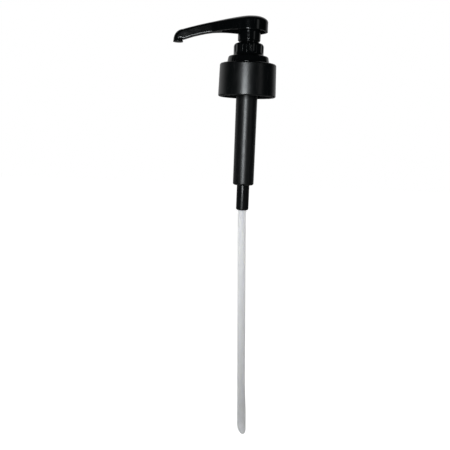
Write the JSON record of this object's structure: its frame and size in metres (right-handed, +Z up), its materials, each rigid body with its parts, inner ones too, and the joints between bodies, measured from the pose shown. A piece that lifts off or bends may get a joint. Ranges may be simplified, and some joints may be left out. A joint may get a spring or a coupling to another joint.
{
  "type": "syrup pump",
  "caption": "Lock-down syrup pump with a press head, long down-turned spout, fluted lock collar, smooth screw closure, plain barrel and translucent dip tube.",
  "frame": {"origin": "on the pump's axis, in the plane where the sealing gasket meets the bottle's rim", "axes": "+Z up along the pump's axis towards the press head, the spout points along -X"},
  "size_m": [0.0767, 0.0426, 0.3249],
  "materials": {
    "head_plastic": "semi-gloss black polypropylene",
    "closure_plastic": "semi-gloss black polypropylene",
    "barrel_plastic": "matte black polypropylene",
    "adaptor_plastic": "glossy black polypropylene",
    "tube_plastic": "translucent natural polyethylene",
    "natural_plastic": "natural polyethylene",
    "soft_seal": "soft matt elastomer",
    "spring_steel": "drawn stainless wire",
    "ball_steel": "polished stainless steel"
  },
  "bodies": {
    "housing": {"pump_cylinder": "barrel_plastic", "lock_collar": "head_plastic", "stem_guide": "natural_plastic", "stem_wiper": "soft_seal", "sealing_gasket": "soft_seal", "ball_cage": "natural_plastic", "tube_adaptor": "adaptor_plastic", "dip_tube": "tube_plastic", "return_spring": "spring_steel"},
    "plunger": {"piston": "natural_plastic"},
    "head": {"actuator_head": "head_plastic", "nozzle_tip": "head_plastic", "stem": "natural_plastic", "piston_retainer": "natural_plastic"},
    "closure": {"closure": "closure_plastic"},
    "inlet_valve": {"inlet_ball": "ball_steel"},
    "outlet_valve": {"outlet_ball": "ball_steel"}
  },
  "joints": [
    {"name": "pump_stroke", "type": "slide", "parent": "housing", "child": "plunger", "axis": [0, 0, 1], "range_m": [0, 0.052], "deforming": ["return_spring"]},
    {"name": "head_swivel", "type": "hinge", "parent": "plunger", "child": "head", "pos_m": [0, 0, 0.03], "axis": [0, 0, 1], "continuous": true},
    {"name": "closure_spin", "type": "hinge", "parent": "housing", "child": "closure", "pos_m": [0, 0, 0], "axis": [0, 0, 1], "continuous": true},
    {"name": "inlet_ball_lift", "type": "slide", "parent": "housing", "child": "inlet_valve", "axis": [0, 0, 1], "range_m": [0, 0.0025]},
    {"name": "outlet_ball_lift", "type": "slide", "parent": "head", "child": "outlet_valve", "axis": [0, 0, 1], "range_m": [0, 0.002]}
  ]
}
